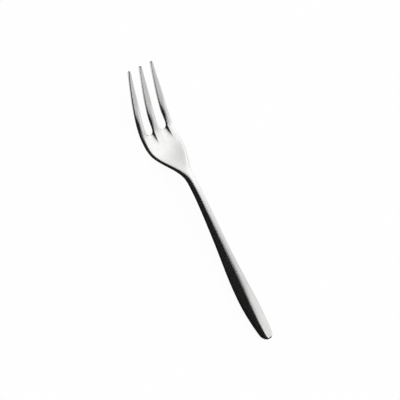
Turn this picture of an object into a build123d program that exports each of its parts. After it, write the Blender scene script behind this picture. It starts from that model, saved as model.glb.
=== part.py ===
"""Pastry fork: a forged three-tined head whose tang is set in a hollow two-shell handle.

Millimetres. The fork lies on a table, bowl up: X runs along it towards the tines, Y across it, Z up.
The origin is on the table, under the middle of the fork. Distances named "..._at" are from the butt end,
and those named "..._reach" are back from the tips, so that the head keeps its form on a longer handle.
"""

import os

from build123d import *

# Whole fork
overall_length = 150.0
tip_height = 16.0

# Head, seen from above
head_width = 21.5
tip_span = 15.7
neck_width = 4.86
shoulder_from_reach = 61.5
shoulder_to_reach = 40.0

# Head, seen from the side
neck_thickness = 3.4
head_thickness = 1.8
tip_thickness = 1.3
crest_reach = 62.0
crest_height = 8.6
bowl_reach = 36.0
bowl_dish = 0.7
bowl_turn = 6.6

# Tines
tine_length = 32.5
middle_tine_width = 4.1
outer_tine_width = 4.0
tine_taper_length = 28.0
tip_radius = 0.7

# Handle
joint_reach = 70.0
stem_taper = 0.029
grip_end_at = 55.0
grip_full_at = 30.0
grip_width = 9.44
grip_thickness = 6.3
belly_at = 22.0
butt_width = 6.0
butt_thickness = 4.0
butt_rise = 0.65
butt_rounding = 1.3
rest_flat_depth = 0.15

# Inside the handle
shell_wall = 0.7
seam_rise = 0.15
filler_clearance = 0.05
filler_wall = 0.25
tang_clearance = 0.1
tang_length = 26.0
tang_end_width = 1.6
tang_end_thickness = 0.9

# How full the cross-sections are: 0.55 is an ellipse, more is squarer
handle_fullness = 0.6
head_fullness = 0.9

# Sizes that follow from the ones above
joint_at = overall_length - joint_reach
crest_at = overall_length - crest_reach
shoulder_from_at = overall_length - shoulder_from_reach
shoulder_to_at = overall_length - shoulder_to_reach
bowl_at = overall_length - bowl_reach
belly_height = grip_thickness / 2 - rest_flat_depth
bowl_height = head_thickness / 2 + bowl_dish
slot_root_at = overall_length - tine_length
tine_taper_at = overall_length - tine_taper_length
tip_centre_at = overall_length - tip_radius
around_tang = shell_wall + filler_clearance + filler_wall + tang_clearance
tang_width = neck_width - 2 * around_tang
tang_thickness = neck_thickness - 2 * around_tang
beyond = overall_length


def along(distance):
    """X of a place given by its distance from the butt end."""
    return distance - overall_length / 2


def ease(start, end, place):
    """Zero before start, one after end, and a smooth step between them."""
    share = min(max((place - start) / (end - start), 0.0), 1.0)
    return share * share * (3 - 2 * share)


def mix(first, second, share):
    return first + (second - first) * share


def edge_height(place):
    """Height of the line along the fork's two sides, halfway through its thickness."""
    if place < belly_at:
        return belly_height + butt_rise * (1 - place / belly_at) ** 2
    if place < crest_at:
        return mix(belly_height, crest_height, ease(belly_at, crest_at, place))
    if place < bowl_at:
        return mix(crest_height, bowl_height, ease(crest_at, bowl_at, place))
    reach = overall_length - bowl_at
    rise = tip_height - tip_thickness / 2 - bowl_height
    slope = (rise * rise + 2 * rise * bowl_turn) ** 0.5 / reach
    return bowl_height + ((slope * (place - bowl_at)) ** 2 + bowl_turn**2) ** 0.5 - bowl_turn


def stem_half(size, place):
    """Half of the slim stem's width or thickness, which is least at the joint with the head."""
    return size / 2 + stem_taper * size / neck_width * max(joint_at - place, 0)


def handle_half(neck_size, grip_size, butt_size, place):
    """Half of the handle's width or thickness: stem, drop-shaped grip, and blunt butt."""
    swell = grip_size / 2 - stem_half(neck_size, belly_at)
    full = stem_half(neck_size, max(place, belly_at)) + swell * (1 - ease(grip_full_at, grip_end_at, place))
    short_of_belly = max(1 - place / belly_at, 0)
    return full - (grip_size - butt_size) / 2 * short_of_belly**2


def half_width(place):
    if place < joint_at:
        return handle_half(neck_width, grip_width, butt_width, place)
    widest = mix(neck_width, head_width, ease(shoulder_from_at, shoulder_to_at, place)) / 2
    past_bowl = max((place - bowl_at) / (overall_length - bowl_at), 0)
    return widest - (head_width - tip_span) / 2 * past_bowl**2


def half_thickness(place):
    if place < joint_at:
        return handle_half(neck_thickness, grip_thickness, butt_thickness, place)
    if place < bowl_at:
        return mix(neck_thickness, head_thickness, ease(joint_at, shoulder_to_at, place)) / 2
    return mix(head_thickness, tip_thickness, (place - bowl_at) / (overall_length - bowl_at)) / 2


def dish(place):
    """How far the middle of the head lies below its sides."""
    if place < bowl_at:
        return bowl_dish * ease(crest_at, bowl_at, place)
    return mix(bowl_dish, 0, (place - bowl_at) / (overall_length - bowl_at))


def fullness(place):
    return mix(handle_fullness, head_fullness, ease(joint_at, shoulder_to_at, place))


def tine_breadth(root_width, place):
    """Width of a tine: even at first, then narrowing in a curve to its round tip."""
    share = max((place - tine_taper_at) / (tip_centre_at - tine_taper_at), 0)
    return mix(root_width, 2 * tip_radius, share**2)


def section(place, inset=0.0):
    """Cross-section of the fork, a rounded oblong that may be dished, drawn this far inside the surface."""
    wide = half_width(place) - inset
    thick = half_thickness(place) - inset
    side = edge_height(place)
    middle = side - dish(place)
    full = fullness(place)

    def quarter(across, up):
        """Control points from the side of the section to the middle of its top or bottom."""
        return [
            (across * wide, side),
            (across * wide, side + up * full * thick),
            (across * full * wide, middle + up * thick),
            (0, middle + up * thick),
        ]

    with BuildSketch(Plane.YZ.offset(along(place))) as outline:
        with BuildLine():
            Bezier(*quarter(1, 1))
            Bezier(*quarter(-1, 1)[::-1])
            Bezier(*quarter(-1, -1))
            Bezier(*quarter(1, -1)[::-1])
        make_face()
    return outline.sketch


def spread(start, end, count):
    """Evenly spaced places from start to end."""
    return [mix(start, end, step / (count - 1)) for step in range(count)]


def handle_form(start, end, inset=0.0):
    """Sections of the handle, or of the space inside it."""
    near_butt = spread(start, belly_at, 4)
    near_joint = spread(belly_at, end, 9)
    return [section(place, inset) for place in near_butt + near_joint[1:]]


def tang_section(place, margin):
    """Cross-section of the tang, an oval, with a margin all round it for the space it sits in."""
    share = (joint_at - place) / tang_length
    width = mix(tang_width, tang_end_width, share)
    thickness = mix(tang_thickness, tang_end_thickness, share)
    with BuildSketch(Plane.YZ.offset(along(place))) as outline:
        with Locations((0, edge_height(place))):
            Ellipse(width / 2 + margin, thickness / 2 + margin)
    return outline.sketch


def tang_form(margin=0.0):
    """Sections of the tang, which follows the handle's middle from its end to the joint."""
    end_at = joint_at - tang_length - margin
    return [tang_section(place, margin) for place in spread(end_at, joint_at, 5)]


# Upper side of the seam between the handle's shells, which runs a little above the handle's widest line
with BuildSketch(Plane.XZ) as above_seam:
    with BuildLine():
        seam = [(along(place), edge_height(place) + seam_rise) for place in spread(0, joint_at, 9)]
        rise = seam[-1][1] + grip_thickness
        start, end = (along(-butt_width), seam[0][1]), (along(joint_at + butt_width), seam[-1][1])
        Line(start, seam[0])
        Spline(*seam)
        Polyline(seam[-1], end, (end[0], rise), (start[0], rise), start)
    make_face()

# Gap between the middle tine and the left one, drawn from its round root to past the tips
with BuildSketch() as slot:
    with BuildLine():
        root_width = half_width(slot_root_at) - outer_tine_width - middle_tine_width / 2
        straight_at = slot_root_at + root_width / 2
        places = spread(straight_at, tip_centre_at, 6)
        left_side = [(along(place), half_width(place) - tine_breadth(outer_tine_width, place)) for place in places]
        middle_side = [(along(place), tine_breadth(middle_tine_width, place) / 2) for place in places]
        root = (along(slot_root_at), (left_side[0][1] + middle_side[0][1]) / 2)
        ThreePointArc(left_side[0], root, middle_side[0])
        Spline(*middle_side)
        Polyline(middle_side[-1], (beyond, tip_radius), (beyond, left_side[-1][1]), left_side[-1])
        Spline(*left_side[::-1])
    make_face()

# What is taken off to round the ends of the tines
with BuildSketch() as tip_ends:
    outer_tip = half_width(tip_centre_at) - tip_radius
    tip_places = [(along(tip_centre_at), across) for across in (-outer_tip, 0, outer_tip)]
    with Locations((along(tip_centre_at) + beyond / 2, 0)):
        Rectangle(beyond, 2 * head_width)
    with Locations(*tip_places):
        Circle(tip_radius, mode=Mode.SUBTRACT)

# Head: tines, bowl and neck forged in one piece with the tang
with BuildPart() as fork_head:
    neck_and_bowl = spread(joint_at, bowl_at, 10)
    blade = spread(bowl_at, overall_length, 8)
    loft(sections=[section(place) for place in neck_and_bowl + blade[1:]])
    extrude(slot.sketch, amount=beyond, both=True, mode=Mode.SUBTRACT)
    extrude(mirror(slot.sketch, about=Plane.XZ, mode=Mode.PRIVATE), amount=beyond, both=True, mode=Mode.SUBTRACT)
    extrude(tip_ends.sketch, amount=beyond, both=True, mode=Mode.SUBTRACT)
    loft(sections=tang_form())
fork_head.part.label = "fork_head"

# Upper shell of the handle
with BuildPart() as handle_upper_shell:
    loft(sections=handle_form(0, joint_at))
    fillet(handle_upper_shell.faces().sort_by(Axis.X)[0].edges(), butt_rounding)
    loft(sections=handle_form(shell_wall, joint_at, shell_wall), mode=Mode.SUBTRACT)
    extrude(above_seam.sketch, amount=beyond, both=True, mode=Mode.INTERSECT)
handle_upper_shell.part.label = "handle_upper_shell"

# Lower shell of the handle, with the small flat it rests on
with BuildPart() as handle_lower_shell:
    loft(sections=handle_form(0, joint_at))
    fillet(handle_lower_shell.faces().sort_by(Axis.X)[0].edges(), butt_rounding)
    loft(sections=handle_form(shell_wall, joint_at, shell_wall), mode=Mode.SUBTRACT)
    extrude(above_seam.sketch, amount=beyond, both=True, mode=Mode.SUBTRACT)
    split(bisect_by=Plane.XY, keep=Keep.TOP)
handle_lower_shell.part.label = "handle_lower_shell"

# Filler that fills the shells and holds the tang
with BuildPart() as handle_filler:
    inset = shell_wall + filler_clearance
    loft(sections=handle_form(inset, joint_at, inset))
    loft(sections=tang_form(tang_clearance), mode=Mode.SUBTRACT)
handle_filler.part.label = "handle_filler"

os.makedirs("parts", exist_ok=True)
for piece in (fork_head, handle_upper_shell, handle_lower_shell, handle_filler):
    export_step(piece.part, f"parts/{piece.part.label}.step")
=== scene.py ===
"""Models the outside of a polished three-tined pastry fork over its CAD frame, and the stage it is shown on.

Metres. The fork lies bowl up: X runs along it towards the tines, Y across it, Z up. Places named "..._at" are
distances from the butt end of the handle, and "..._reach" are distances back from the tips.
"""

import math

import bmesh
import bpy
from mathutils import Matrix, Vector


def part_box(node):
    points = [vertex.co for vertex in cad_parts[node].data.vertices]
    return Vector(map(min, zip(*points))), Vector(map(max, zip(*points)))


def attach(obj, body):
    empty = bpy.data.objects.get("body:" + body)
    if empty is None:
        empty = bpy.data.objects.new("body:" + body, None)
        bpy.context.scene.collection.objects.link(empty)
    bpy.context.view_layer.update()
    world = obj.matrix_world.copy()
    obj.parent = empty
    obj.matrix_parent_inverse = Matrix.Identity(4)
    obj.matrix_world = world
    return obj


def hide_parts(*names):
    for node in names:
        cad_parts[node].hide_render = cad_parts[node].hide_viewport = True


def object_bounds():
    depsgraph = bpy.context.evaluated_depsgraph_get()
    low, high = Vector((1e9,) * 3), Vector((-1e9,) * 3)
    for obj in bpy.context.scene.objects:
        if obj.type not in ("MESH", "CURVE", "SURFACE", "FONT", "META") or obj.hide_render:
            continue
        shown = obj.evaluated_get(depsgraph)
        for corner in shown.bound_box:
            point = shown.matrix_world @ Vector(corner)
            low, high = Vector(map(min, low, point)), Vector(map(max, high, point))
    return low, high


bl_info = {
    "name": "Pastry Fork",
    "version": (1, 0, 0),
    "blender": (4, 5, 0),
    "location": "View3D > Sidebar > Pastry Fork",
    "description": "Models a polished three-tined pastry fork over its CAD frame, and its stage",
    "category": "Add Mesh",
}

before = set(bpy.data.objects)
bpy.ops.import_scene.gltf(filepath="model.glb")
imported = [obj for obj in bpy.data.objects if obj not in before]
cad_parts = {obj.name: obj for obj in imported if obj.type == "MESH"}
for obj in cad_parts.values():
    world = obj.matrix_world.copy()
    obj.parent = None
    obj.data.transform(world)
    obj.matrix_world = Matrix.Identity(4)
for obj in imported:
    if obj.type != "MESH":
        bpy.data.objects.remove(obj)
cad_low, cad_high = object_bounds()
head_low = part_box("fork_head")[0]
shell_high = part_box("handle_lower_shell")[1]

# The skin's points stand on lines that run the length of the fork: 10 on each side of a middle line.
# Lines 0 to 2 go on into the middle tine, 3 to 5 end at the root of a slot, and 6 to 10 go on into an outer
# tine. On each ring, a line has a point in each of three rows.
SIDE_LINE = 10
ROLL_LINE = 9
OUTER_TINE_EDGE = 6
SLOT_MIDDLE = 4
RIDGE_LINE = 3
MIDDLE_TINE_EDGE = 2
TOP, MIDWAY, BOTTOM = 1, 0, -1
HEAD, UPPER_SHELL, LOWER_SHELL = 0, 1, 2

# How many times the skin is subdivided, and the fewest faces that it then has.
SKIN_LEVELS = 2
FEWEST_FACES = 10000
# Faces that meet at less than this angle are shaded as one smooth surface.
SMOOTH_ANGLE = math.radians(50)
# How near to the table's plane a point counts as on it, when the shell is cut there.
ON_PLANE = 0.000001
# Halvings that find a place on a section.
HALVINGS = 40

# Stage: the floor's size, the curved cards' length and number of facets, and how white the paper looks.
FLOOR_SIZE = 6.0
CARD_LENGTH = 3.0
CARD_FACETS = 96
PAPER_WHITENESS = 0.95
WHITE = (1.0, 1.0, 1.0, 1.0)

# How many rings of points the skin has: to the belly, on to the joint, in the bowl, along the tines, and how
# many the tang has.
BELLY_RINGS, STEM_RINGS, BOWL_RINGS, TINE_RINGS, TANG_RINGS = 6, 9, 11, 9, 4
# Rings of points round the butt, in butt roundings: how far along, and how far in across and in height.
BUTT_RINGS = ((0.0, 1.5, 0.9), (0.15, 1.0, 0.5), (0.65, 0.45, 0.15), (1.5, 0.1, 0.0))
# The handle's own rings start this many butt roundings along.
HANDLE_RINGS_FROM = 2.6
# Rings stand this far before and after the joint, and the bowl's last one this far before the slots.
BESIDE_JOINT = 0.004
BEFORE_SLOTS = 0.004
# Rings at the slots' roots: how far back, and the share of the roots' rounding that they have.
ROOT_RINGS = ((0.0022, 0.0), (0.0009, 0.3), (0.0, 1.0))
# The tines' last rings stand this many tip radii before and after the centres of the tips.
BEFORE_TIP = 1.5
PAST_TIP = 0.75

# The butt's squareness and its undercut fade towards the grip with these powers.
SQUARE_FADE = 1.4
UNDERCUT_FADE = 4
# Share of the butt's sharper upper edge that holds across the fork, and lines over which its ridge falls off.
CORNER_ACROSS = 0.2
RIDGE_BREADTH = 2
# How much smaller the handle's squarer sections are drawn.
DRAWN_SMALLER = 0.35

# How far past the joint, and past the shoulder's start, the lines on top spread out into the bowl.
LINES_SPREAD = (0.004, 0.008)
# The bowl's hollow is full this far past the crest, and starts to end this far before the lowest place.
HOLLOW_ENDS = (0.010, 0.013)
# The roll along the rim starts to widen this far before that place. It is at most this share of the half
# width, and the line inside it stands this many rolls in from the side.
ROLL_WIDENS = 0.004
MOST_ROLL = 0.35
INSIDE_ROLL = 1.5
# Where the rim's side is widest and where its underside starts: shares of the half thickness.
RIM_WIDEST = 0.35
RIM_UNDERSIDE = 0.9

# Where lines 3 and 5 meet the round root of a slot: shares of its radius across and along.
SLOT_CORNER = (0.8, 0.6)
# How the roots' rounding is shared out: by row, and on lines 3 and 5.
LIP_SHARE = {TOP: 1.0, MIDWAY: 0.3, BOTTOM: -0.4}
LIP_AT_CORNERS = 0.6

# Distances past the slots' roots at which the tines' crown starts, is full, starts to fade, and is the tips'.
CROWN_STARTS = (-0.001, 0.004)
CROWN_FADES = (0.005, 0.014)
# Share of the crown that the outer tines have beside the slots.
CROWN_BESIDE_SLOTS = 0.8
# How far past the roots their undercut and the low edge of the bowl's rim run on.
UNDERCUT_RUN = 0.006
LOW_EDGE_RUN = 0.016
# How far that low edge, and the middle of the tines' sides, lie below: shares of the half thickness.
LOW_EDGE = 0.25
LOW_MIDDLE = 0.1
# The most that the tines' soft edges and their roll take up: shares of the half breadth.
MOST_SOFT = 0.25
MOST_TINE_ROLL = 0.8
# Tip radii past its centre at which a tip is cut off, and tip radii over which the tines' ends turn square.
TIP_CUT = 0.7
SQUARE_RUN = 4


def linear(hex_colour):
    """Linear RGBA from an sRGB hex colour such as "#C8C6C2"."""
    channels = [int(hex_colour[start : start + 2], 16) / 255 for start in (1, 3, 5)]
    return [c / 12.92 if c <= 0.04045 else ((c + 0.055) / 1.055) ** 2.4 for c in channels] + [1.0]


def size(name, description, default):
    """A length that a user may change."""
    return bpy.props.FloatProperty(
        name=name, description=description, default=default, min=0.0, precision=5, unit="LENGTH"
    )


def factor(name, description, default):
    """A share from 0 to 1 that a user may change."""
    return bpy.props.FloatProperty(
        name=name, description=description, default=default, min=0.0, max=1.0, subtype="FACTOR"
    )


def turn(name, description, degrees):
    """An angle that a user may change."""
    return bpy.props.FloatProperty(
        name=name, description=description, default=math.radians(degrees), subtype="ANGLE"
    )


def colour(name, description, hex_colour):
    """A colour that a user may change."""
    return bpy.props.FloatVectorProperty(
        name=name,
        description=description,
        default=linear(hex_colour),
        size=4,
        min=0.0,
        max=1.0,
        subtype="COLOR",
    )


class ForkSizes(bpy.types.PropertyGroup):
    """Sizes of the fork: the CAD model's, and those of the finish that only the skin has."""

    overall_length: size("Overall length", "From the butt end to the tips", cad_high.x - cad_low.x)
    tip_height: size("Tip height", "Height of the tips above the table", cad_high.z)

    head_width: size("Head width", "Widest part of the head", 0.0215)
    tip_span: size("Tip span", "Across the outer tips, outside to outside", 0.0157)
    neck_width: size("Neck width", "Width of the neck where it is slimmest", 0.00486)
    shoulder_from_reach: size("Shoulder start", "Where the neck starts to widen, back from the tips", 0.0615)
    shoulder_to_reach: size("Shoulder end", "Where the head has its full width, back from the tips", 0.040)

    neck_thickness: size("Neck thickness", "Thickness of the neck", 0.0034)
    head_thickness: size("Head thickness", "Thickness of the bowl", 0.0018)
    tip_thickness: size("Tip thickness", "Thickness of the tines at their tips", 0.0013)
    crest_reach: size("Crest place", "Where the neck is highest, back from the tips", 0.062)
    crest_height: size("Crest height", "Height of the neck's middle where it is highest", 0.0086)
    bowl_reach: size("Bowl place", "Where the bowl rests on the table, back from the tips", 0.036)
    bowl_dish: size("Bowl dish", "How far the bowl's middle lies below its sides", 0.0007)
    bowl_hollow: size("Bowl hollow", "How much further the top of the bowl is hollowed out", 0.0002)
    bowl_turn: size("Bowl turn", "How slowly the bowl turns up into the tines", 0.0066)

    tine_length: size("Tine length", "From the root of the slots to the tips", 0.0325)
    middle_tine_width: size("Middle tine width", "Width of the middle tine at its root", 0.0041)
    outer_tine_width: size("Outer tine width", "Width of the outer tines at their roots", 0.0040)
    tine_taper_length: size("Tine taper", "Length over which the tines narrow to their tips", 0.028)
    tip_radius: size("Tip radius", "Radius of the tips, seen from above", 0.0007)

    joint_at: size("Joint place", "Where the head meets the handle", shell_high.x - cad_low.x)
    stem_taper: factor("Stem taper", "How fast the stem widens towards the grip", 0.029)
    grip_end_at: size("Grip end", "Where the grip has narrowed to the stem", 0.055)
    grip_full_at: size("Grip full", "Where the grip starts to narrow", 0.030)
    grip_width: size("Grip width", "Widest part of the handle", 0.00944)
    grip_thickness: size("Grip thickness", "Thickest part of the handle", 0.0063)
    belly_at: size("Belly place", "Where the handle is lowest", 0.022)
    butt_width: size("Butt width", "Width of the handle's end", 0.006)
    butt_thickness: size("Butt thickness", "Thickness of the handle's end", 0.004)
    butt_rise: size("Butt rise", "How far the handle's end is lifted", 0.00065)
    butt_rounding: size("Butt rounding", "Radius round the handle's end", 0.0013)
    rest_flat_depth: size("Rest flat depth", "How much is polished off where the handle rests", 0.00015)

    shell_wall: size("Shell wall", "Thickness of the hollow handle's wall", 0.0007)
    tang_width: size("Tang width", "Width of the tang at the joint", 0.00266)
    tang_thickness: size("Tang thickness", "Thickness of the tang at the joint", 0.0012)
    tang_taper: factor("Tang taper", "Size of the tang's end against its size at the joint", 0.62)

    even_fullness: factor("Even fullness", "How square the CAD handle's section is; 0.55 is an ellipse", 0.6)
    butt_fullness: factor("Butt fullness", "How square the top of the section is at the butt", 0.98)
    grip_fullness: factor("Grip fullness", "How square the top of the section is along the grip", 0.47)
    neck_fullness: factor("Neck fullness", "How square the top of the section is at the neck", 0.63)
    head_fullness: factor("Head fullness", "How square the underside of the bowl is", 0.9)
    rim_fullness: factor("Rim fullness", "How square the top of the bowl's section is", 0.88)
    rim_rounding: size("Rim rounding", "How far the corners of the bowl's rim are rounded", 0.00012)
    rim_roll: size("Rim roll", "How far in from the bowl's rim its top starts to roll off", 0.00105)
    root_roll: size("Root roll", "The same along the outer tines' roots", 0.0016)
    belly_spread: factor("Belly spread", "How much wider the lower half of the handle is", 0.06)
    butt_ridge: size("Butt ridge", "How far the soft ridge beside the butt's top stands up", 0.00012)
    edge_softness: size("Edge softness", "How far in from the tines' edges their rounding starts", 0.00055)
    tine_crown: size("Tine crown", "How much lower the tines' edges are than their middles", 0.00082)
    tip_crown: size("Tip crown", "The same at the tips", 0.00012)
    root_lip: size("Root lip", "How far the roots of the slots are rounded off", 0.0003)
    root_undercut: size("Root undercut", "How much wider the slots' roots are underneath, each way", 0.0006)
    root_crown: size("Root crown", "How much lower the tines' edges are beside the slots' roots", 0.0004)
    groove_depth: size("Groove depth", "Depth of the groove that runs into the bowl from each slot", 0.00045)
    groove_length: size("Groove length", "How far that groove runs into the bowl", 0.0065)
    butt_corner: factor("Butt corner", "How much less the butt's upper edge is rounded than its lower", 0.7)
    butt_undercut: size("Butt undercut", "How much further the butt reaches on top than below", 0.0007)


class ForkColours(bpy.types.PropertyGroup):
    """Colours of the fork and of the stage."""

    steel: colour("Steel", "Polished stainless steel", "#CDCDCC")
    steel_haze: colour("Steel haze", "The same steel where wiping has left a faint haze", "#C6C6C5")
    filler: colour("Filler", "Cast filler inside the handle", "#8F8A80")
    filler_grit: colour("Filler grit", "Grains in the filler", "#6F6A62")
    floor: colour("Floor", "Matt white paper", "#F7F7F7")
    card: colour("Card", "Black felt card beside the fork", "#242424")


class ForkView(bpy.types.PropertyGroup):
    """Where the camera stands."""

    aim_x: size("Aim along", "Point that the camera looks at, along the fork", 0.002585)
    aim_y: size("Aim across", "Point that the camera looks at, across the fork", 0.00059)
    aim_z: size("Aim height", "Point that the camera looks at, above the table", 0.008)
    distance: size("Distance", "From the camera to that point", 0.7985)
    azimuth: turn("Azimuth", "Direction of the camera from the tines' direction", 89.04)
    elevation: turn("Elevation", "Direction of the camera above the table", 56.21)
    roll: turn("Roll", "Turn of the camera about its own line of sight", 62.97)
    lens: bpy.props.FloatProperty(
        name="Lens", description="Focal length on a 36 mm sensor", default=144.48, min=1.0, unit="CAMERA"
    )


def ease(start, end, place):
    """Zero before start, one after end, and a smooth step between them."""
    share = min(max((place - start) / (end - start), 0.0), 1.0)
    return share * share * (3 - 2 * share)


def mix(first, second, share):
    return first + (second - first) * share


def spread(start, end, count):
    """Evenly spaced places from start to end."""
    return [mix(start, end, step / (count - 1)) for step in range(count)]


class ForkForm:
    """Works out points of the fork's surface from its sizes."""

    def __init__(self, sizes):
        self.sizes = sizes
        length = sizes.overall_length
        self.length = length
        self.joint_at = sizes.joint_at
        self.crest_at = length - sizes.crest_reach
        self.bowl_at = length - sizes.bowl_reach
        self.shoulder_from_at = length - sizes.shoulder_from_reach
        self.shoulder_to_at = length - sizes.shoulder_to_reach
        self.slot_root_at = length - sizes.tine_length
        self.taper_at = length - sizes.tine_taper_length
        self.tip_centre_at = length - sizes.tip_radius
        self.belly_height = sizes.grip_thickness / 2 - sizes.rest_flat_depth
        self.bowl_height = sizes.head_thickness / 2 + sizes.bowl_dish
        self.slot_inner = sizes.middle_tine_width / 2
        self.slot_outer = self.half_width(self.slot_root_at) - sizes.outer_tine_width
        self.slot_radius = (self.slot_outer - self.slot_inner) / 2
        self.straight_at = self.slot_root_at + self.slot_radius

    def along(self, place):
        """X of a place given by its distance from the butt end."""
        return place - self.length / 2

    def past_bowl(self, place):
        """Share of the way from the bowl to the tips."""
        return max((place - self.bowl_at) / (self.length - self.bowl_at), 0.0)

    def edge_height(self, place):
        """Height of the line along the fork's two sides, halfway through its thickness."""
        s = self.sizes
        if place < s.belly_at:
            return self.belly_height + s.butt_rise * (1 - place / s.belly_at) ** 2
        if place < self.crest_at:
            return mix(self.belly_height, s.crest_height, ease(s.belly_at, self.crest_at, place))
        if place < self.bowl_at:
            return mix(s.crest_height, self.bowl_height, ease(self.crest_at, self.bowl_at, place))
        rise = s.tip_height - s.tip_thickness / 2 - self.bowl_height
        slope = (rise * rise + 2 * rise * s.bowl_turn) ** 0.5
        return self.bowl_height + math.hypot(slope * self.past_bowl(place), s.bowl_turn) - s.bowl_turn

    def stem_half(self, least, place):
        """Half of the slim stem's width or thickness, which is least at the joint with the head."""
        slimmer = self.sizes.stem_taper * least / self.sizes.neck_width
        return least / 2 + slimmer * max(self.joint_at - place, 0.0)

    def handle_half(self, neck, grip, butt, place):
        """Half of the handle's width or thickness: stem, drop-shaped grip, and blunt butt."""
        s = self.sizes
        swell = grip / 2 - self.stem_half(neck, s.belly_at)
        full = self.stem_half(neck, max(place, s.belly_at))
        full += swell * (1 - ease(s.grip_full_at, s.grip_end_at, place))
        return full - (grip - butt) / 2 * max(1 - place / s.belly_at, 0.0) ** 2

    def headward(self, place):
        """Share of the way from the joint to where the head has its full width, as a smooth step."""
        return ease(self.joint_at, self.shoulder_to_at, place)

    def shoulder(self, place):
        """Share of the way from the neck's width to the head's, as a smooth step."""
        return ease(self.shoulder_from_at, self.shoulder_to_at, place)

    def past_root(self, start, end, place):
        """Smooth step between two distances past the round roots of the slots."""
        return ease(self.straight_at + start, self.straight_at + end, place)

    def half_width(self, place):
        s = self.sizes
        if place < self.joint_at:
            return self.handle_half(s.neck_width, s.grip_width, s.butt_width, place)
        widest = mix(s.neck_width, s.head_width, self.shoulder(place))
        return (widest - (s.head_width - s.tip_span) * self.past_bowl(place) ** 2) / 2

    def half_thickness(self, place):
        s = self.sizes
        if place < self.joint_at:
            return self.handle_half(s.neck_thickness, s.grip_thickness, s.butt_thickness, place)
        if place < self.bowl_at:
            return mix(s.neck_thickness, s.head_thickness, self.headward(place)) / 2
        return mix(s.head_thickness, s.tip_thickness, self.past_bowl(place)) / 2

    def dish(self, place):
        """How far the middle of the head lies below its sides."""
        if place < self.bowl_at:
            return self.sizes.bowl_dish * ease(self.crest_at, self.bowl_at, place)
        return self.sizes.bowl_dish * (1 - self.past_bowl(place))

    def fullness(self, place):
        """How square the section's top is: most at the butt, least along the grip, and more to the head."""
        s = self.sizes
        near_butt = max(1 - place / s.grip_full_at, 0.0)
        handle = mix(s.grip_fullness, s.butt_fullness, near_butt**SQUARE_FADE)
        handle = mix(handle, s.neck_fullness, ease(s.grip_full_at, self.joint_at, place))
        return mix(handle, s.rim_fullness, self.headward(place))

    def crown(self, place):
        """How much lower a tine's edges are than its middle."""
        s = self.sizes
        return mix(s.tine_crown, s.tip_crown, self.past_root(*CROWN_FADES, place))

    def half_section(self, place, row):
        """Half width, half thickness and fullness of the upper or the lower half of the section."""
        s = self.sizes
        wide, thick = self.half_width(place), self.half_thickness(place)
        if row == BOTTOM:
            headward = self.headward(place)
            wider = wide * (1 + s.belly_spread * (1 - headward))
            return wider, thick, mix(s.even_fullness, s.head_fullness, headward)
        # A squarer section looks wider from above one side, so the handle's is drawn smaller to keep
        # its outline.
        full = self.fullness(place)
        squarer = (full - s.even_fullness) * (1 - ease(s.grip_end_at, self.joint_at, place))
        drawn = 1 / (1 + DRAWN_SMALLER * squarer)
        return wide * drawn, thick * drawn, full

    def quarter(self, place, share, row, inset=(0.0, 0.0)):
        """Distance across, middle height and half thickness, at a share of the way in from the side."""
        wide, thick, full = self.half_section(place, row)
        near_side = (1 - share) ** 3
        past_side = 3 * share * (1 - share) ** 2
        near_middle = 3 * share**2 * (1 - share) + share**3
        across = (wide - inset[0]) * (near_side + past_side + full * 3 * share**2 * (1 - share))
        middle = self.edge_height(place) - self.dish(place) * near_middle
        return across, middle, (thick - inset[1]) * (full * past_side + near_middle)

    def share_at(self, place, across, row):
        """Share from the section's side to its middle at which it is this far across."""
        low, high = 0.0, 1.0
        for halving in range(HALVINGS):
            share = (low + high) / 2
            if self.quarter(place, share, row)[0] > across:
                low = share
            else:
                high = share
        return share

    def roll(self, place):
        """How far in from the side the top starts to roll off."""
        s = self.sizes
        wide = mix(s.rim_roll, s.root_roll, ease(self.bowl_at - ROLL_WIDENS, self.slot_root_at, place))
        return min(wide, MOST_ROLL * self.half_width(place))

    def line_across(self, place, line):
        """How far across a line runs in the bowl, where it leads to its place at the roots of the tines."""
        if line >= ROLL_LINE:
            return self.half_width(place) - self.roll(place)
        soft = self.sizes.edge_softness
        wide = self.half_width(self.slot_root_at)
        corner = self.slot_radius * (1 - SLOT_CORNER[0])
        roots = [
            0.0,
            self.slot_inner - soft,
            self.slot_inner,
            self.slot_inner + corner,
            self.slot_inner + self.slot_radius,
            self.slot_outer - corner,
            self.slot_outer,
            self.slot_outer + soft,
            wide - INSIDE_ROLL * self.roll(self.slot_root_at),
        ]
        return roots[line] / roots[-1] * (self.half_width(place) - INSIDE_ROLL * self.roll(place))

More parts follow.
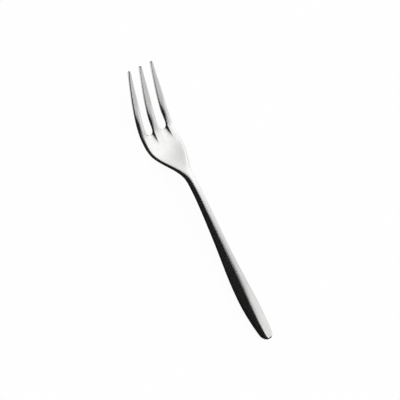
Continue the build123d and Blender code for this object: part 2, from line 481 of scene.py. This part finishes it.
    def skin_point(self, place, line, row, inset=(0.0, 0.0)):
        """Where a point of the handle, neck or bowl stands, drawn in this far across and in height."""
        s = self.sizes
        side = 1 if line > 0 else -1
        line = abs(line)
        sharper = s.butt_corner * (1 + row) / 2
        inset = (inset[0] * (1 - CORNER_ACROSS * sharper), inset[1] * (1 - sharper))
        near_butt = max(1 - place / s.belly_at, 0.0)
        along = self.along(place) + s.butt_undercut * near_butt**UNDERCUT_FADE * (1 - row) / 2
        if row == MIDWAY and line == SIDE_LINE:
            across, middle = self.quarter(place, 0.0, row, inset)[:2]
            lower = RIM_WIDEST * self.half_thickness(place) * self.shoulder(place)
            return Vector((along, side * across, middle - lower))
        across, middle, thick = self.quarter(place, 1 - line / (SIDE_LINE + 1), row, inset)
        if row == TOP:
            spread_out = ease(self.joint_at + LINES_SPREAD[0], self.shoulder_from_at + LINES_SPREAD[1], place)
        else:
            spread_out = self.shoulder(place)
        if spread_out > 0 and line < SIDE_LINE:
            across = mix(across, self.line_across(place, line), spread_out)
            middle, thick = self.quarter(place, self.share_at(place, across, row), row)[1:]
        elif spread_out > 0:
            across = mix(across, self.half_width(place) - s.rim_rounding, spread_out)
            rim = RIM_UNDERSIDE if row == BOTTOM else 0.0
            thick = mix(thick, self.half_thickness(place) * rim, spread_out)
        if row == TOP:
            thick += self.relief(place, line, across, near_butt)
        return Vector((along, side * across, middle + row * thick))

    def relief(self, place, line, across, near_butt):
        """How far the top stands up at the butt's ridge, or lies lower in the grooves and the hollow."""
        s = self.sizes
        raised = s.butt_ridge * near_butt**2 * max(1 - abs(line - RIDGE_LINE) / RIDGE_BREADTH, 0.0)
        if MIDDLE_TINE_EDGE < line < OUTER_TINE_EDGE:
            behind = self.root_place(line, 0.0) - place
            raised -= s.groove_depth * (1 - ease(0.0, s.groove_length, behind))
        in_bowl = ease(self.crest_at, self.crest_at + HOLLOW_ENDS[0], place)
        in_bowl *= 1 - ease(self.bowl_at - HOLLOW_ENDS[1], self.bowl_at, place)
        return raised - s.bowl_hollow * in_bowl * (1 - (across / self.half_width(place)) ** 2)

    def butt_point(self, ring, line, row):
        """Where a point of one of the rounded butt's rings stands."""
        along, across, height = [share * self.sizes.butt_rounding for share in ring]
        return self.skin_point(along, line, row, (across, height))

    def root_place(self, line, back):
        """Where a line meets the round roots of the slots, or the same curve this far back from them."""
        line = abs(line)
        rounded = {SLOT_MIDDLE: 1.0, SLOT_MIDDLE - 1: SLOT_CORNER[1], SLOT_MIDDLE + 1: SLOT_CORNER[1]}
        return self.straight_at - self.slot_radius * rounded.get(line, 0.0) - back

    def root_point(self, line, row, back, lip):
        """Where a point near the roots of the slots stands, with a share of the roots' rounding."""
        s = self.sizes
        point = self.skin_point(self.root_place(line, back), line, row)
        under = lip * s.root_undercut * (1 - row) / 2
        over = lip * s.root_crown * (1 + row) / 2
        if MIDDLE_TINE_EDGE < abs(line) < OUTER_TINE_EDGE:
            share = lip if abs(line) == SLOT_MIDDLE else LIP_AT_CORNERS * lip
            point.z -= share * s.root_lip * LIP_SHARE[row]
            point.x -= under
        elif abs(line) == MIDDLE_TINE_EDGE:
            point.y -= math.copysign(under, line)
            point.z -= over
        elif abs(line) == OUTER_TINE_EDGE:
            point.y += math.copysign(under, line)
            point.z -= over
        return point

    def tine_breadth(self, root_width, place):
        """Width of a tine: even at first, then narrowing in a curve to its round tip."""
        share = max((place - self.taper_at) / (self.tip_centre_at - self.taper_at), 0.0)
        return mix(root_width, 2 * self.sizes.tip_radius, min(share, 1.0) ** 2)

    def tine_point(self, place, line, row):
        """Where a point of a tine stands."""
        s = self.sizes
        side = 1 if line > 0 else -1
        line = abs(line)
        on_middle_tine = line <= MIDDLE_TINE_EDGE
        past_centre = min(max(place - self.tip_centre_at, 0.0) / s.tip_radius, TIP_CUT)
        breadth = self.tine_breadth(s.middle_tine_width if on_middle_tine else s.outer_tine_width, place)
        half = breadth / 2 * math.sqrt(1 - past_centre**2)
        soft = min(s.edge_softness, MOST_SOFT * half)
        if on_middle_tine:
            centre = 0.0
            across = (0.0, half - soft, half)[line]
        else:
            centre = self.half_width(min(place, self.tip_centre_at)) - breadth / 2
            roll = min(s.root_roll, MOST_TINE_ROLL * half)
            outwards = (-half, soft - half, half - INSIDE_ROLL * roll, half - roll, half)
            across = centre + outwards[line - OUTER_TINE_EDGE]
        sideways = (across - centre) / half
        under = s.root_undercut * (1 - row) / 2 * (1 - self.past_root(0.0, UNDERCUT_RUN, place))
        if line == MIDDLE_TINE_EDGE:
            across -= under
        elif line == OUTER_TINE_EDGE:
            across += under
        crown = self.crown(place)
        if on_middle_tine or sideways < 0:
            # Beside the slots the crown starts past the roots, and the outer tines have a little less of it.
            crown *= self.past_root(*CROWN_STARTS, place)
            crown *= 1.0 if on_middle_tine else CROWN_BESIDE_SLOTS
        thick = self.half_thickness(place)
        height = {TOP: thick - crown * sideways**2, MIDWAY: -LOW_MIDDLE * thick, BOTTOM: -thick}[row]
        if line == SIDE_LINE and row == MIDWAY:
            # The low edge of the bowl's rim runs out along the outer tines.
            height -= LOW_EDGE * thick * (1 - self.past_root(0.0, LOW_EDGE_RUN, place))
        middle = self.edge_height(place) - self.dish(place) * (1 - (across / self.half_width(place)) ** 2)
        # The ends are square to the tines, which slope up there.
        squared = ease(self.tip_centre_at - SQUARE_RUN * s.tip_radius, self.tip_centre_at, place)
        back = squared * self.tip_slope() * (thick + height)
        return Vector((self.along(place) - back, side * across, middle + height))

    def tip_slope(self):
        """Slope of the tines at their tips, to which their ends are square."""
        step = self.sizes.tip_radius
        return (self.edge_height(self.length) - self.edge_height(self.length - step)) / step


def leave_edit_mode():
    """Back to object mode with nothing selected."""
    if bpy.context.mode != "OBJECT":
        bpy.ops.object.mode_set(mode="OBJECT")
    bpy.ops.object.select_all(action="DESELECT")


def work_on(piece):
    """Selects one piece alone and makes it active."""
    leave_edit_mode()
    piece.select_set(True)
    bpy.context.view_layer.objects.active = piece


def lay_selected(place_point):
    """Moves each selected point of the edited mesh to where place_point puts its line and row."""
    mesh = bpy.context.object.data
    edit = bmesh.from_edit_mesh(mesh)
    line = edit.verts.layers.int["line"]
    row = edit.verts.layers.int["row"]
    for point in edit.verts:
        if point.select:
            point.co = place_point(point[line], point[row])
    bmesh.update_edit_mesh(mesh)


def extrude_to(place_point):
    """Extrudes the selected faces and lays their points on the next ring towards the tips."""
    bpy.ops.mesh.extrude_region_move()
    lay_selected(place_point)


def select_faces(wanted):
    """Selects the faces of the edited mesh for which wanted is true, and no others."""
    mesh = bpy.context.object.data
    bpy.ops.mesh.select_mode(type="FACE")
    bpy.ops.mesh.select_all(action="DESELECT")
    edit = bmesh.from_edit_mesh(mesh)
    for face in edit.faces:
        face.select_set(wanted(face))
    bmesh.update_edit_mesh(mesh)


def apply_modifier(piece, kind, **settings):
    """Adds a modifier with these settings to a piece and applies it."""
    work_on(piece)
    bpy.ops.object.modifier_add(type=kind)
    modifier = piece.modifiers[-1]
    for name, value in settings.items():
        setattr(modifier, name, value)
    bpy.ops.object.modifier_apply(modifier=modifier.name)


def split_off(skin, number, name):
    """Separates the skin's faces with this piece's number into a piece of their own."""
    work_on(skin)
    bpy.ops.object.mode_set(mode="EDIT")
    select_faces(lambda face: face.material_index == number)
    bpy.ops.mesh.separate(type="SELECTED")
    bpy.ops.object.mode_set(mode="OBJECT")
    piece = next(o for o in bpy.context.selected_objects if o is not skin)
    piece.name = piece.data.name = name
    return piece


def finish_piece(piece, node, material):
    """Gives a piece its finish and its place on the frame."""
    piece.data.materials.clear()
    piece.data.materials.append(material)
    for face in piece.data.polygons:
        face.material_index = 0
    work_on(piece)
    bpy.ops.object.shade_smooth_by_angle(angle=SMOOTH_ANGLE, keep_sharp_edges=True)
    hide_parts(node)
    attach(piece, "root")


def add_node(tree, kind, inputs=None, **settings):
    """Adds a node with its settings, and sets each named input or links it from another node's output."""
    node = tree.nodes.new(kind)
    for name, value in settings.items():
        setattr(node, name, value)
    for name, value in (inputs or {}).items():
        if isinstance(value, bpy.types.NodeSocket):
            tree.links.new(value, node.inputs[name])
        else:
            node.inputs[name].default_value = value
    return node


def new_material(name):
    """An empty node material and its tree."""
    material = bpy.data.materials.get(name) or bpy.data.materials.new(name)
    material.use_nodes = True
    material.node_tree.nodes.clear()
    return material, material.node_tree


def mirror_polished_stainless_steel(colours):
    """Stainless steel, forged or pressed, then buffed along its length on a soft wheel to a mirror.

    The eye sees clear reflections, with faint lengthwise buffing lines in them, a slow waviness left by hand
    polishing, and soft patches of haze from wiping.
    """
    material, tree = new_material("mirror_polished_stainless_steel")
    place = add_node(tree, "ShaderNodeTexCoord").outputs["Object"]
    # Buffing lines are about 0.05 mm apart, which is too fine to show, so they are drawn 0.35 mm apart.
    lengthwise = add_node(tree, "ShaderNodeMapping", {"Vector": place, "Scale": (0.04, 1.0, 1.0)})
    lines = add_node(
        tree,
        "ShaderNodeTexNoise",
        {"Vector": lengthwise.outputs["Vector"], "Scale": 1 / 0.00035, "Detail": 2.0},
    )
    # Waves from the polishing wheel are about 7 mm long.
    waves = add_node(tree, "ShaderNodeTexNoise", {"Vector": place, "Scale": 1 / 0.007, "Detail": 1.0})
    # Haze from wiping lies in patches of about 12 mm.
    haze = add_node(tree, "ShaderNodeTexNoise", {"Vector": place, "Scale": 1 / 0.012, "Detail": 4.0})
    haze_share = add_node(
        tree, "ShaderNodeMapRange", {"Value": haze.outputs["Fac"], "From Min": 0.4, "From Max": 0.7}
    )
    tint = add_node(
        tree,
        "ShaderNodeMix",
        {"Factor": haze_share.outputs["Result"], "A": colours.steel, "B": colours.steel_haze},
        data_type="RGBA",
    )
    grain = add_node(
        tree,
        "ShaderNodeMath",
        {0: lines.outputs["Fac"], 1: haze_share.outputs["Result"]},
        operation="MULTIPLY",
    )
    roughness = add_node(
        tree, "ShaderNodeMapRange", {"Value": grain.outputs["Value"], "To Min": 0.10, "To Max": 0.16}
    )
    wavy = add_node(
        tree, "ShaderNodeBump", {"Height": waves.outputs["Fac"], "Strength": 0.06, "Distance": 0.0004}
    )
    lined = add_node(
        tree,
        "ShaderNodeBump",
        {
            "Height": lines.outputs["Fac"],
            "Normal": wavy.outputs["Normal"],
            "Strength": 0.04,
            "Distance": 0.00003,
        },
    )
    shader = add_node(
        tree,
        "ShaderNodeBsdfPrincipled",
        {
            "Base Color": tint.outputs["Result"],
            "Roughness": roughness.outputs["Result"],
            "Normal": lined.outputs["Normal"],
            "Metallic": 1.0,
        },
    )
    add_node(tree, "ShaderNodeOutputMaterial", {"Surface": shader.outputs["BSDF"]})
    return material


def cast_resin_and_sand_filler(colours):
    """Resin cast with fine sand, as it sets inside a hollow handle.

    The eye sees a dull warm grey with darker grains, and small pits where air was trapped.
    """
    material, tree = new_material("cast_resin_and_sand_filler")
    place = add_node(tree, "ShaderNodeTexCoord").outputs["Object"]
    # Grains of sand are about 0.3 mm across.
    grit = add_node(tree, "ShaderNodeTexVoronoi", {"Vector": place, "Scale": 1 / 0.0003})
    # Patches where the mix is richer are about 3 mm across.
    patches = add_node(tree, "ShaderNodeTexNoise", {"Vector": place, "Scale": 1 / 0.003, "Detail": 3.0})
    share = add_node(
        tree, "ShaderNodeMath", {0: grit.outputs["Distance"], 1: patches.outputs["Fac"]}, operation="MULTIPLY"
    )
    tint = add_node(
        tree,
        "ShaderNodeMix",
        {"Factor": share.outputs["Value"], "A": colours.filler_grit, "B": colours.filler},
        data_type="RGBA",
    )
    pits = add_node(
        tree, "ShaderNodeBump", {"Height": grit.outputs["Distance"], "Strength": 0.3, "Distance": 0.0001}
    )
    shader = add_node(
        tree,
        "ShaderNodeBsdfPrincipled",
        {"Base Color": tint.outputs["Result"], "Normal": pits.outputs["Normal"], "Roughness": 0.75},
    )
    add_node(tree, "ShaderNodeOutputMaterial", {"Surface": shader.outputs["BSDF"]})
    return material


class PASTRYFORK_OT_skin(bpy.types.Operator):
    """Model the outside of the whole fork, to be cut into its pieces"""

    bl_idname = "pastry_fork.skin"
    bl_label = "Model Fork Skin"

    def execute(self, context):
        sizes = context.scene.pastry_fork_sizes
        form = ForkForm(sizes)
        leave_edit_mode()
        span = sizes.butt_width
        bpy.ops.mesh.primitive_grid_add(x_subdivisions=2 * SIDE_LINE, y_subdivisions=2, size=span)
        skin = context.object
        skin.name = skin.data.name = "fork_skin"
        bpy.ops.object.mode_set(mode="EDIT")
        bpy.ops.mesh.select_mode(type="FACE")
        edit = bmesh.from_edit_mesh(skin.data)
        edit.verts.layers.int.new("line")
        edit.verts.layers.int.new("row")
        line = edit.verts.layers.int["line"]
        row = edit.verts.layers.int["row"]
        for point in edit.verts:
            point[line] = round(point.co.x / span * 2 * SIDE_LINE)
            point[row] = round(point.co.y / span * 2)
        bmesh.update_edit_mesh(skin.data)
        bpy.ops.mesh.select_all(action="SELECT")
        lay_selected(lambda line, row: form.butt_point(BUTT_RINGS[0], line, row))
        for ring in BUTT_RINGS[1:]:
            extrude_to(lambda line, row: form.butt_point(ring, line, row))
        places = spread(HANDLE_RINGS_FROM * sizes.butt_rounding, sizes.belly_at, BELLY_RINGS)
        places += spread(sizes.belly_at, form.joint_at - BESIDE_JOINT, STEM_RINGS + 1)[1:]
        places += [form.joint_at]
        places += spread(form.joint_at + BESIDE_JOINT, form.slot_root_at - BEFORE_SLOTS, BOWL_RINGS)
        for place in places:
            extrude_to(lambda line, row: form.skin_point(place, line, row))
        for back, lip in ROOT_RINGS:
            extrude_to(lambda line, row: form.root_point(line, row, back, lip))

        # The tines go on from the front faces between the slots.
        edit = bmesh.from_edit_mesh(skin.data)
        line = edit.verts.layers.int["line"]
        for face in edit.faces:
            lines = [abs(point[line]) for point in face.verts]
            on_tine = max(lines) <= MIDDLE_TINE_EDGE or min(lines) >= OUTER_TINE_EDGE
            face.select_set(face.select and on_tine)
        bmesh.update_edit_mesh(skin.data)
        bpy.ops.mesh.select_mode(type="FACE")
        tip = sizes.tip_radius
        places = spread(form.straight_at, form.tip_centre_at - BEFORE_TIP * tip, TINE_RINGS + 1)[1:]
        places += [form.tip_centre_at, form.tip_centre_at + PAST_TIP * tip, form.length]
        for place in places:
            extrude_to(lambda line, row: form.tine_point(place, line, row))

        # Each face gets the number of the piece that it will belong to.
        edit = bmesh.from_edit_mesh(skin.data)
        row = edit.verts.layers.int["row"]
        joint_x = form.along(form.joint_at)
        for face in edit.faces:
            above = any(point[row] == TOP for point in face.verts)
            in_head = face.calc_center_median().x > joint_x
            face.material_index = HEAD if in_head else UPPER_SHELL if above else LOWER_SHELL
        bmesh.update_edit_mesh(skin.data)
        bpy.ops.mesh.select_all(action="SELECT")
        bpy.ops.mesh.normals_make_consistent(inside=False)
        bpy.ops.object.mode_set(mode="OBJECT")
        for number in (HEAD, UPPER_SHELL, LOWER_SHELL):
            skin.data.materials.append(None)
        apply_modifier(skin, "SUBSURF", levels=SKIN_LEVELS, render_levels=SKIN_LEVELS)
        if len(skin.data.polygons) < FEWEST_FACES:
            raise RuntimeError("the skin has too few faces")
        return {"FINISHED"}


class PASTRYFORK_OT_head(bpy.types.Operator):
    """Cut the head from the skin and draw out the tang behind it"""

    bl_idname = "pastry_fork.head"
    bl_label = "Finish Head"

    def execute(self, context):
        sizes = context.scene.pastry_fork_sizes
        form = ForkForm(sizes)
        head = split_off(bpy.data.objects["fork_skin"], HEAD, "polished_head")
        work_on(head)
        bpy.ops.object.mode_set(mode="EDIT")
        bpy.ops.mesh.select_mode(type="EDGE")
        bpy.ops.mesh.select_all(action="DESELECT")
        bpy.ops.mesh.select_non_manifold()
        bpy.ops.mesh.edge_face_add()
        bpy.ops.mesh.select_mode(type="FACE")
        joint = Vector((form.along(form.joint_at), 0.0, form.edge_height(form.joint_at)))
        bpy.ops.mesh.extrude_region_move()
        bpy.ops.transform.resize(
            value=(1.0, sizes.tang_width / sizes.neck_width, sizes.tang_thickness / sizes.neck_thickness),
            center_override=joint,
        )
        places = spread(form.joint_at, head_low.x - cad_low.x, TANG_RINGS + 1)
        narrower = sizes.tang_taper ** (1 / TANG_RINGS)
        for start, place in zip(places, places[1:]):
            rise = form.edge_height(place) - form.edge_height(start)
            bpy.ops.mesh.extrude_region_move(TRANSFORM_OT_translate={"value": (place - start, 0.0, rise)})
            centre = Vector((form.along(place), 0.0, form.edge_height(place)))
            bpy.ops.transform.resize(value=(1.0, narrower, narrower), center_override=centre)
        bpy.ops.mesh.select_all(action="SELECT")
        bpy.ops.mesh.normals_make_consistent(inside=False)
        bpy.ops.object.mode_set(mode="OBJECT")
        steel = mirror_polished_stainless_steel(context.scene.pastry_fork_colours)
        finish_piece(head, "fork_head", steel)
        return {"FINISHED"}


class PASTRYFORK_OT_shells(bpy.types.Operator):
    """Make the handle's upper and lower shells from the rest of the skin"""

    bl_idname = "pastry_fork.shells"
    bl_label = "Finish Handle Shells"

    def execute(self, context):
        sizes = context.scene.pastry_fork_sizes
        upper = split_off(bpy.data.objects["fork_skin"], UPPER_SHELL, "polished_upper_shell")
        lower = bpy.data.objects["fork_skin"]
        lower.name = lower.data.name = "polished_lower_shell"

        for shell in (upper, lower):
            apply_modifier(shell, "SOLIDIFY", thickness=sizes.shell_wall, offset=-1.0)

        # The lower shell is polished flat where it rests on the table.
        work_on(lower)
        bpy.ops.object.mode_set(mode="EDIT")
        bpy.ops.mesh.select_all(action="SELECT")
        bpy.ops.mesh.bisect(
            plane_co=(0, 0, 0), plane_no=(0, 0, 1), use_fill=True, clear_inner=True, threshold=ON_PLANE
        )
        bpy.ops.object.mode_set(mode="OBJECT")

        steel = mirror_polished_stainless_steel(context.scene.pastry_fork_colours)
        for shell, node in ((upper, "handle_upper_shell"), (lower, "handle_lower_shell")):
            finish_piece(shell, node, steel)
        return {"FINISHED"}


class PASTRYFORK_OT_filler(bpy.types.Operator):
    """Give the filler inside the handle its finish"""

    bl_idname = "pastry_fork.filler"
    bl_label = "Finish Filler"

    def execute(self, context):
        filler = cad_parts["handle_filler"]
        material = cast_resin_and_sand_filler(context.scene.pastry_fork_colours)
        for slot in filler.material_slots:
            slot.material = material
        return {"FINISHED"}


def matt_white_paper(colours):
    """Matt white paper.

    The camera and the steel see it white, with a light shadow under the fork.
    """
    material, tree = new_material("matt_white_paper")
    path = add_node(tree, "ShaderNodeLightPath")
    seen = path.outputs["Is Camera Ray"]
    for ray in ("Is Glossy Ray", "Is Transmission Ray"):
        either = add_node(tree, "ShaderNodeMath", {0: seen, 1: path.outputs[ray]}, operation="MAXIMUM")
        seen = either.outputs["Value"]
    share = add_node(tree, "ShaderNodeMath", {0: seen, 1: PAPER_WHITENESS}, operation="MULTIPLY")
    matt = add_node(tree, "ShaderNodeBsdfDiffuse", {"Color": colours.floor})
    white = add_node(tree, "ShaderNodeEmission", {"Color": WHITE, "Strength": 1.0})
    blend = add_node(
        tree,
        "ShaderNodeMixShader",
        {0: share.outputs["Value"], 1: matt.outputs["BSDF"], 2: white.outputs["Emission"]},
    )
    add_node(tree, "ShaderNodeOutputMaterial", {"Surface": blend.outputs["Shader"]})
    return material


def white_lamp_cloth(name, glow, ends):
    """White cloth stretched over a lamp, which fades out at some of its ends.

    The eye sees only its soft light in the steel. Each end is how much it slants, where the lamp is dark and
    where it is bright.
    """
    material, tree = new_material(f"white_cloth_of_{name}")
    place = add_node(tree, "ShaderNodeTexCoord").outputs["Object"]
    parts = add_node(tree, "ShaderNodeSeparateXYZ", {"Vector": place})
    for slant, dark, bright in ends:
        along = add_node(
            tree,
            "ShaderNodeMath",
            {0: parts.outputs["Y"], 1: slant, 2: parts.outputs["X"]},
            operation="MULTIPLY_ADD",
        )
        step = add_node(
            tree,
            "ShaderNodeMapRange",
            {"Value": along.outputs["Value"], "From Min": dark, "From Max": bright},
        )
        total = add_node(tree, "ShaderNodeMath", {0: glow, 1: step.outputs["Result"]}, operation="MULTIPLY")
        glow = total.outputs["Value"]
    clear = add_node(tree, "ShaderNodeBsdfTransparent")
    cloth = add_node(tree, "ShaderNodeEmission", {"Color": WHITE, "Strength": glow})
    both = add_node(tree, "ShaderNodeAddShader", {0: clear.outputs["BSDF"], 1: cloth.outputs["Emission"]})
    add_node(tree, "ShaderNodeOutputMaterial", {"Surface": both.outputs["Shader"]})
    return material


def black_felt(colours, name, fades):
    """Black felt on a card, woven thinner towards some of its edges.

    The eye sees only its dark reflection in the steel, with soft ends. Each fade is an axis, where along it
    the felt is thinnest and where it is solid, how dense it is at its thinnest, and the power by which it
    thins.
    """
    material, tree = new_material(f"black_felt_of_{name}")
    place = add_node(tree, "ShaderNodeTexCoord").outputs["Object"]
    parts = add_node(tree, "ShaderNodeSeparateXYZ", {"Vector": place})
    density = 1.0
    for axis, thin, solid, least, power in fades:
        step = add_node(
            tree, "ShaderNodeMapRange", {"Value": parts.outputs[axis], "From Min": thin, "From Max": solid}
        )
        bent = add_node(tree, "ShaderNodeMath", {0: step.outputs["Result"], 1: power}, operation="POWER")
        share = add_node(
            tree, "ShaderNodeMapRange", {"Value": bent.outputs["Value"], "To Min": least, "To Max": 1.0}
        )
        total = add_node(
            tree, "ShaderNodeMath", {0: density, 1: share.outputs["Result"]}, operation="MULTIPLY"
        )
        density = total.outputs["Value"]
    clear = add_node(tree, "ShaderNodeBsdfTransparent")
    felt = add_node(tree, "ShaderNodeBsdfDiffuse", {"Color": colours.card})
    blend = add_node(
        tree, "ShaderNodeMixShader", {0: density, 1: clear.outputs["BSDF"], 2: felt.outputs["BSDF"]}
    )
    add_node(tree, "ShaderNodeOutputMaterial", {"Surface": blend.outputs["Shader"]})
    return material


def curved_card(radius, low, high):
    """A card curved round the fork's length, above the floor, from one distance across to another."""
    leave_edit_mode()
    bpy.ops.mesh.primitive_cylinder_add(
        vertices=CARD_FACETS,
        radius=radius,
        depth=CARD_LENGTH,
        end_fill_type="NOTHING",
        rotation=(0, math.pi / 2, 0),
    )
    bpy.ops.object.transform_apply(location=True, rotation=True, scale=True)
    bpy.ops.object.mode_set(mode="EDIT")
    for point, kept_side in (
        ((0, 0, 0), (0, 0, 1)),
        ((0, low, 0), (0, 1, 0)),
        ((0, high, 0), (0, -1, 0)),
    ):
        bpy.ops.mesh.select_all(action="SELECT")
        bpy.ops.mesh.bisect(plane_co=point, plane_no=kept_side, clear_inner=True)
    bpy.ops.object.mode_set(mode="OBJECT")
    return bpy.context.object


def flat_card(place, tilt, stretch):
    """A flat card one metre square, stretched to its size, that lies on the floor or is tilted up."""
    leave_edit_mode()
    bpy.ops.mesh.primitive_plane_add(size=1.0, location=place, rotation=(0, tilt, 0))
    bpy.ops.transform.resize(value=stretch)
    bpy.ops.object.transform_apply(location=True, rotation=True, scale=True)
    return bpy.context.object


def hang(card, name, material):
    """Hangs a card or lamp so that it shows in the steel and nowhere else, and may be inside the picture."""
    card.name = name
    card.data.materials.append(material)
    card.visible_camera = False
    card.visible_diffuse = False
    card.visible_transmission = False
    card.visible_volume_scatter = False
    card.visible_shadow = False


def light_tent(scene):
    """Surrounds the fork with a white tent of light."""
    world = bpy.data.worlds.new("white_tent")
    world.use_nodes = True
    scene.world = world
    tree = world.node_tree
    tree.nodes.clear()
    place = add_node(tree, "ShaderNodeTexCoord").outputs["Generated"]
    parts = add_node(tree, "ShaderNodeSeparateXYZ", {"Vector": place})
    # The tent is a little dimmer behind the handle.
    tent_light = add_node(
        tree,
        "ShaderNodeMapRange",
        {"Value": parts.outputs["X"], "From Min": -0.6, "From Max": -0.2, "To Min": 0.86, "To Max": 0.95},
        interpolation_type="SMOOTHSTEP",
    )
    # A lamp stands low behind the fork on its right, and shows in the tines' right edges.
    low_lamp = 0.3
    for axis, dark, bright in (("X", -0.22, -0.36), ("X", -0.64, -0.5), ("Y", -0.6, -0.85)):
        step = add_node(
            tree,
            "ShaderNodeMapRange",
            {"Value": parts.outputs[axis], "From Min": dark, "From Max": bright},
            interpolation_type="SMOOTHSTEP",
        )
        share = add_node(
            tree, "ShaderNodeMath", {0: low_lamp, 1: step.outputs["Result"]}, operation="MULTIPLY"
        )
        low_lamp = share.outputs["Value"]
    total = add_node(tree, "ShaderNodeMath", {0: tent_light.outputs["Result"], 1: low_lamp}, operation="ADD")
    tent = add_node(tree, "ShaderNodeBackground", {"Color": WHITE, "Strength": total.outputs["Value"]})
    add_node(tree, "ShaderNodeOutputWorld", {"Surface": tent.outputs["Background"]})


class PASTRYFORK_OT_stage(bpy.types.Operator):
    """Set the floor, the light, the cards that the steel reflects, and the camera"""

    bl_idname = "pastry_fork.stage"
    bl_label = "Set Stage"

    def execute(self, context):
        scene = context.scene
        colours = scene.pastry_fork_colours
        leave_edit_mode()
        bpy.ops.mesh.primitive_plane_add(size=FLOOR_SIZE)
        floor = context.object
        floor.name = "paper_floor"
        floor.data.materials.append(matt_white_paper(colours))
        light_tent(scene)

        # A long soft lamp with a slanted end hangs over the head on the right, and a small one by the butt.
        for name, radius, low, high, glow, ends in (
            ("long_lamp", 0.52, -0.60, -0.05, 0.66, [(0.0, -0.14, 0.01), (1.5, -0.02, -0.19)]),
            ("small_lamp", 0.10, -0.11, -0.02, 0.35, [(0.0, -0.056, -0.085)]),
        ):
            hang(curved_card(radius, low, high), name, white_lamp_cloth(name, glow, ends))

        # A black card curves over the fork's left side, and its part overhead thins out towards the right.
        # A thinner one close over the grip softens the edge of what the grip mirrors.
        edge, overhead = -0.335, -0.01
        overhead_fades = [("Y", edge, overhead, 0.0, 1.6), ("X", -0.42, -0.24, 0.35, 1.0)]
        grip_fades = [
            ("Y", -0.07, 0.0128, 0.0, 1.0),
            ("X", -0.016, -0.05, 0.0, 1.0),
            ("X", -0.06, -0.05, 0.0, 1.0),
        ]
        for name, radius, low, high, fades in (
            ("overhead_black_card", 0.5, edge, overhead, overhead_fades),
            ("left_black_card", 0.5, overhead, 0.6, []),
            ("overhead_grey_card", 0.08, -0.07, -0.0016, grip_fades),
        ):
            hang(curved_card(radius, low, high), name, black_felt(colours, name, fades))

        # One more lies on the floor along the fork's left side and thins out under the tines.
        # Small ones stand behind the butt and before the tips, whose ends mirror them.
        upright = math.pi / 2
        tine_fade = [("X", 0.070, 0.046, 0.0, 1.0)]
        for name, place, tilt, stretch, fades in (
            ("floor_black_card", (-0.405, 0.24725, 0.00002), 0.0, (0.99, 0.5055, 1.0), tine_fade),
            ("butt_black_card", (-0.10, 0.0, 0.0), upright, (0.1, 0.1, 0.1), []),
            ("tip_black_card", (0.083, -0.005, 0.018), upright, (0.036, 0.036, 0.036), []),
        ):
            hang(flat_card(place, tilt, stretch), name, black_felt(colours, name, fades))

        # The camera stands at the photograph's angle.
        view = scene.pastry_fork_view
        aim = Vector((view.aim_x, view.aim_y, view.aim_z))
        direction = Vector(
            (
                math.cos(view.elevation) * math.cos(view.azimuth),
                math.cos(view.elevation) * math.sin(view.azimuth),
                math.sin(view.elevation),
            )
        )
        bpy.ops.object.camera_add(location=aim + direction * view.distance)
        camera = context.object
        camera.name = "photo_camera"
        level = direction.to_track_quat("Z", "Y").to_matrix()
        camera.rotation_euler = (level @ Matrix.Rotation(view.roll, 3, "Z")).to_euler()
        camera.data.sensor_width = 36.0
        camera.data.lens = view.lens
        scene.camera = camera
        scene.view_settings.view_transform = "Standard"
        return {"FINISHED"}


class PASTRYFORK_PT_panel(bpy.types.Panel):
    """Sizes, colours and steps of the pastry fork"""

    bl_idname = "PASTRYFORK_PT_panel"
    bl_label = "Pastry Fork"
    bl_space_type = "VIEW_3D"
    bl_region_type = "UI"
    bl_category = "Pastry Fork"

    def draw(self, context):
        layout = self.layout
        for operator in OPERATORS:
            layout.operator(operator.bl_idname)
        for group in (
            context.scene.pastry_fork_sizes,
            context.scene.pastry_fork_colours,
            context.scene.pastry_fork_view,
        ):
            column = layout.column(align=True)
            for name in group.__annotations__:
                column.prop(group, name)


OPERATORS = (
    PASTRYFORK_OT_skin,
    PASTRYFORK_OT_head,
    PASTRYFORK_OT_shells,
    PASTRYFORK_OT_filler,
    PASTRYFORK_OT_stage,
)
CLASSES = (ForkSizes, ForkColours, ForkView, *OPERATORS, PASTRYFORK_PT_panel)


def register():
    for cls in CLASSES:
        bpy.utils.register_class(cls)
    bpy.types.Scene.pastry_fork_sizes = bpy.props.PointerProperty(type=ForkSizes)
    bpy.types.Scene.pastry_fork_colours = bpy.props.PointerProperty(type=ForkColours)
    bpy.types.Scene.pastry_fork_view = bpy.props.PointerProperty(type=ForkView)


def unregister():
    del bpy.types.Scene.pastry_fork_view
    del bpy.types.Scene.pastry_fork_colours
    del bpy.types.Scene.pastry_fork_sizes
    for cls in reversed(CLASSES):
        bpy.utils.unregister_class(cls)


def main():
    register()
    bpy.ops.pastry_fork.skin()
    bpy.ops.pastry_fork.head()
    bpy.ops.pastry_fork.shells()
    bpy.ops.pastry_fork.filler()
    bpy.ops.pastry_fork.stage()


if __name__ == "__main__":
    main()
